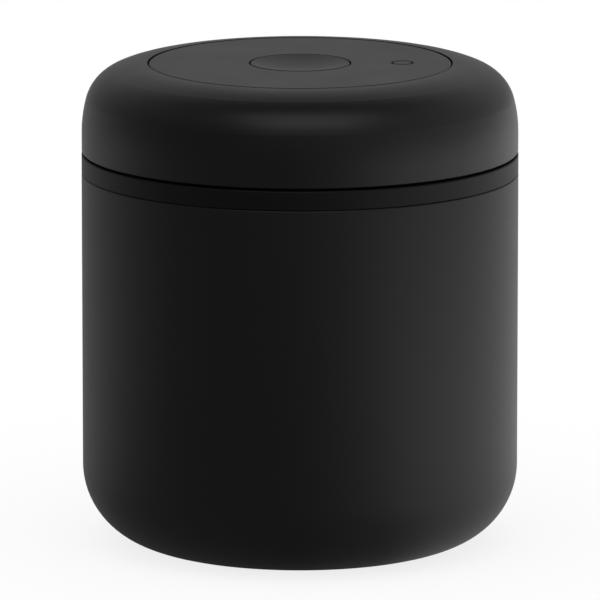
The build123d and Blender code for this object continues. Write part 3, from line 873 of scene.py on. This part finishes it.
@dataclass
class FilterGauze:
    """Round of plain woven wire in a pressed rim, under the pump."""

    # Real wires are about 0.3 mm apart, too fine to show, so they are drawn wider apart
    pitch: float = 1.4 * MM
    steps_per_crossing: int = 2
    rim_width: float = 1.2 * MM
    rim_segments: int = 96
    wire_sides: int = 4
    # Drawn bright and then woven: each crest gives its own small glint, like a fine cloth
    wire: WorkedMetal = WorkedMetal(
        name="woven stainless wire",
        colour="#bdbbb7",
        shade_colour="#a5a39f",
        roughness=0.3,
        mark_mm=0.2,
        mark_length_mm=2.0,
    )

    def add_wire(self, gauze: bmesh.types.BMesh, number: int, reach: float, middle: float,
                 wave: float, lengthwise: bool) -> None:
        """Add one wire that passes over and under those it crosses.

        Args:
            gauze: Mesh to add to.
            number: Place of the wire, counted from the middle one.
            reach: Half of its length.
            middle: Height of the middle of the weave.
            wave: How far it swings up and down, which is also its radius.
            lengthwise: Whether it runs along the first axis.
        """
        side = 1 if lengthwise else -1
        steps = max(2, round(2 * reach / self.pitch * self.steps_per_crossing))
        rings = []
        for step in range(steps + 1):
            along = -reach + 2 * reach * step / steps
            height = middle + side * wave * math.cos(math.pi * (along / self.pitch + number))
            ring = []
            for corner in range(self.wire_sides):
                turn = 2 * math.pi * corner / self.wire_sides
                across = number * self.pitch + wave * math.cos(turn)
                place = (along, across) if lengthwise else (across, along)
                ring.append(gauze.verts.new((*place, height + wave * math.sin(turn))))
            rings.append(ring)
        add_tube(gauze, rings)

    def add_rim(self, gauze: bmesh.types.BMesh, radius: float, low: float, high: float) -> None:
        """Add the flat ring that holds the ends of the wires.

        Args:
            gauze: Mesh to add to.
            radius: Outer radius.
            low: Height of its underside.
            high: Height of its top.
        """
        inner = radius - self.rim_width
        outline = [(inner, low), (radius, low), (radius, high), (inner, high)]
        columns = []
        for segment in range(self.rim_segments):
            turn = 2 * math.pi * segment / self.rim_segments
            columns.append([
                gauze.verts.new((reach * math.cos(turn), reach * math.sin(turn), height))
                for reach, height in outline
            ])
        for near, far in zip(columns, columns[1:] + columns[:1]):
            for corner in range(len(outline)):
                after = (corner + 1) % len(outline)
                gauze.faces.new([near[corner], far[corner], far[after], near[after]])

    def build(self) -> bpy.types.Object:
        """Weave the gauze over the space of the CAD disc.

        Returns:
            The gauze.
        """
        low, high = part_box("filter_mesh")
        radius = high[0]
        middle = (low[2] + high[2]) / 2
        # Where two wires cross, their two thicknesses fill the height of the gauze
        wave = (high[2] - low[2]) / 4
        hold = radius - self.rim_width / 2
        gauze = bmesh.new()
        count = int(hold / self.pitch)
        for number in range(-count, count + 1):
            reach = math.sqrt(hold ** 2 - (number * self.pitch) ** 2)
            self.add_wire(gauze, number, reach, middle, wave, True)
            self.add_wire(gauze, number, reach, middle, wave, False)
        self.add_rim(gauze, radius, low[2], high[2])
        bmesh.ops.recalc_face_normals(gauze, faces=gauze.faces)
        return add_piece("gauze", gauze, [self.wire.build()], Body.LID_BASE,
                         ["filter_mesh"])


@dataclass
class TurningCap:
    """Rounded outer cap with the drum that it turns."""

    # The same coat as the disc, a shade smoother on the round, so its rolled edge keeps a sheen
    shell: MouldedPlastic = MouldedPlastic(
        name="soft touch coated ABS cap",
        colour="#050505",
        flow_colour="#080808",
        roughness=0.4,
    )

    def build(self, shared: dict[str, bpy.types.Material]) -> None:
        """Dress the cap, its drum and its screws.

        Args:
            shared: Finishes shared with the fixed half.
        """
        dress("cap_shell", self.shell.build())
        dress("drive_drum", shared["acetal"])
        dress("drum_screws", shared["screws"])


@dataclass
class PumpPiston:
    """Ring-shaped piston with its seals, valve, spider and pins."""

    # Ground pins are the smoothest metal here and throw one thin bright line along each side
    pins: WorkedMetal = WorkedMetal(
        name="ground steel",
        colour="#b4b4b5",
        shade_colour="#9d9d9f",
        roughness=0.2,
        mark_mm=0.1,
        mark_length_mm=1.5,
    )

    def build(self, shared: dict[str, bpy.types.Material]) -> None:
        """Dress the piston and what it carries.

        Args:
            shared: Finishes shared with the fixed half.
        """
        for node in ("piston_head", "drive_spider"):
            dress(node, shared["acetal"])
        for node in ("piston_seal", "bore_seal", "outlet_valve"):
            dress(node, shared["rubber"])
        dress("spider_screws", shared["screws"])
        dress("cam_pins", self.pins.build())


@dataclass
class ReleaseValve:
    """Push button with the rod and seal that let air back in."""

    # Satin from the mould, without a coat: its dish gathers a soft crescent of light
    button: MouldedPlastic = MouldedPlastic(
        name="moulded satin ABS button",
        colour="#050505",
        flow_colour="#080808",
        roughness=0.42,
    )
    spring: Spring = field(default_factory=lambda: Spring(
        name="button_coil",
        node="button_spring",
        joint="button_press",
        travel=2.5 * MM,
        wire_radius=0.4 * MM,
        turns=5.5,
    ))

    def build(self, shared: dict[str, bpy.types.Material]) -> None:
        """Dress the button, its rod and its seal, and wind its spring.

        Args:
            shared: Finishes shared with the fixed half.
        """
        dress("release_button", self.button.build())
        dress("valve_stem", shared["acetal"])
        dress("release_seal", shared["rubber"])
        self.spring.build()


@dataclass
class VacuumMarker:
    """Small rod beside the button that sinks while there is a vacuum."""

    # Satin from the mould like the button, and a touch flatter on its small face
    head: MouldedPlastic = MouldedPlastic(
        name="moulded satin ABS marker",
        colour="#050505",
        flow_colour="#080808",
        roughness=0.42,
        specular_level=0.42,
    )
    spring: Spring = field(default_factory=lambda: Spring(
        name="marker_coil",
        node="indicator_spring",
        joint="marker_sink",
        travel=1.8 * MM,
        wire_radius=0.3 * MM,
        turns=6.5,
    ))

    def build(self, shared: dict[str, bpy.types.Material]) -> None:
        """Dress the rod and its cup, and wind its spring.

        Args:
            shared: Finishes shared with the fixed half.
        """
        dress("indicator_rod", self.head.build())
        dress("indicator_cup", shared["rubber"])
        self.spring.build()


@dataclass(frozen=True)
class Softbox:
    """Rectangular studio lamp that points at a height on the object's axis."""

    name: str
    place: tuple[float, float, float]
    width: float
    depth: float
    watts: float
    aim_height: float = 0.06

    def build(self) -> None:
        """Add the lamp, unseen by the camera."""
        light = bpy.data.lights.new(self.name, "AREA")
        light.shape = "RECTANGLE"
        light.size = self.width
        light.size_y = self.depth
        light.energy = self.watts
        lamp = bpy.data.objects.new(self.name, light)
        lamp.location = self.place
        aim = Vector((0.0, 0.0, self.aim_height)) - lamp.location
        lamp.rotation_euler = aim.to_track_quat("-Z", "Y").to_euler()
        lamp.visible_camera = False
        bpy.context.scene.collection.objects.link(lamp)
        LOG.info("%s: %.0f W", self.name, self.watts)


@dataclass
class Studio:
    """White paper floor, a softbox overhead, and the camera at the photograph's place."""

    floor_size: float = 12.0
    ambient: float = 1.0
    # Strength of the room in gloss, and how it grows to the right and to the back
    gloss_level: float = 0.26
    gloss_slope: tuple[float, float, float] = (0.12, 0.15, 0.0)
    # Share of it that the ceiling keeps, and the elevations in degrees that it fades between
    ceiling: float = 0.2
    backdrop_top: float = 40.0
    ceiling_edge: float = 65.0
    # The camera looks down by the pitch in degrees at a point on the object's axis
    pitch: float = 11.221
    camera_distance: float = 2.3741
    aim_height: float = 63.75 * MM
    focal_px: float = 9070.0
    frame_px: float = 600.0
    sensor_mm: float = 36.0
    lamps: tuple[Softbox, ...] = (
        Softbox("overhead softbox", (0.06, -0.82, 1.34), 1.4, 1.15, 4.0),
    )

    def build(self) -> None:
        """Set up the floor, the lamps, the world, the camera and the colour view."""
        self.add_floor()
        for lamp in self.lamps:
            lamp.build()
        self.add_world()
        self.add_camera()
        bpy.context.scene.view_settings.view_transform = "Standard"

    def add_floor(self) -> None:
        """Lay the paper that the object stands on."""
        reach = self.floor_size / 2
        mesh = bpy.data.meshes.new("paper_floor")
        corners = [(-reach, -reach), (reach, -reach), (reach, reach), (-reach, reach)]
        mesh.from_pydata([(*corner, 0.0) for corner in corners], [], [range(len(corners))])
        mesh.materials.append(Paper().build())
        floor = bpy.data.objects.new("paper_floor", mesh)
        bpy.context.scene.collection.objects.link(floor)

    def add_world(self) -> None:
        """Light the room evenly, with gloss that shows it dim under a dark ceiling."""
        world = bpy.data.worlds.new("studio")
        world.use_nodes = True
        tree = world.node_tree
        tree.nodes.clear()
        direction = add_node(tree, "ShaderNodeTexCoord").outputs["Generated"]
        sides = add_node(tree, "ShaderNodeSeparateXYZ", links={"Vector": direction})
        slope = add_node(tree, "ShaderNodeVectorMath", settings={"operation": "DOT_PRODUCT"},
                         values={1: self.gloss_slope}, links={0: direction})
        wall = add_node(tree, "ShaderNodeMath", settings={"operation": "ADD"},
                        values={1: self.gloss_level}, links={0: slope.outputs["Value"]})
        ceiling = add_node(tree, "ShaderNodeMapRange",
                           settings={"interpolation_type": "SMOOTHSTEP"},
                           values={"From Min": math.sin(math.radians(self.backdrop_top)),
                                   "From Max": math.sin(math.radians(self.ceiling_edge)),
                                   "To Min": 1.0, "To Max": self.ceiling},
                           links={"Value": sides.outputs["Z"]})
        level = add_node(tree, "ShaderNodeMath", settings={"operation": "MULTIPLY"},
                         links={0: wall.outputs[0], 1: ceiling.outputs["Result"]})
        white = {"Color": srgb(WHITE)}
        room = add_node(tree, "ShaderNodeBackground", values=white | {"Strength": self.ambient})
        walls = add_node(tree, "ShaderNodeBackground", values=white,
                         links={"Strength": level.outputs[0]})
        seen = add_node(tree, "ShaderNodeBackground", values=white)
        from_camera, from_gloss = add_ray_kinds(tree)
        lit = add_node(tree, "ShaderNodeMixShader",
                       links={0: from_gloss, 1: room.outputs["Background"],
                              2: walls.outputs["Background"]})
        mixed = add_node(tree, "ShaderNodeMixShader",
                         links={0: from_camera, 1: lit.outputs["Shader"],
                                2: seen.outputs["Background"]})
        add_node(tree, "ShaderNodeOutputWorld", links={"Surface": mixed.outputs["Shader"]})
        bpy.context.scene.world = world

    def add_camera(self) -> None:
        """Set the camera where the photograph was taken from."""
        lens = bpy.data.cameras.new("camera")
        lens.sensor_width = self.sensor_mm
        lens.lens = self.focal_px / self.frame_px * self.sensor_mm
        camera = bpy.data.objects.new("camera", lens)
        pitch = math.radians(self.pitch)
        camera.location = (
            0.0,
            -self.camera_distance * math.cos(pitch),
            self.aim_height + self.camera_distance * math.sin(pitch),
        )
        camera.rotation_euler = (math.pi / 2 - pitch, 0.0, 0.0)
        bpy.context.scene.collection.objects.link(camera)
        bpy.context.scene.camera = camera


def main() -> None:
    """Build every part of the scene."""
    logging.basicConfig(level=logging.INFO, format="%(name)s: %(message)s")
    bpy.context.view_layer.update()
    Jar().build()
    shared = LidBase().build()
    TopDisc().build()
    FilterGauze().build()
    TurningCap().build(shared)
    PumpPiston().build(shared)
    ReleaseValve().build(shared)
    VacuumMarker().build(shared)
    Studio().build()


if __name__ == "__main__":
    main()
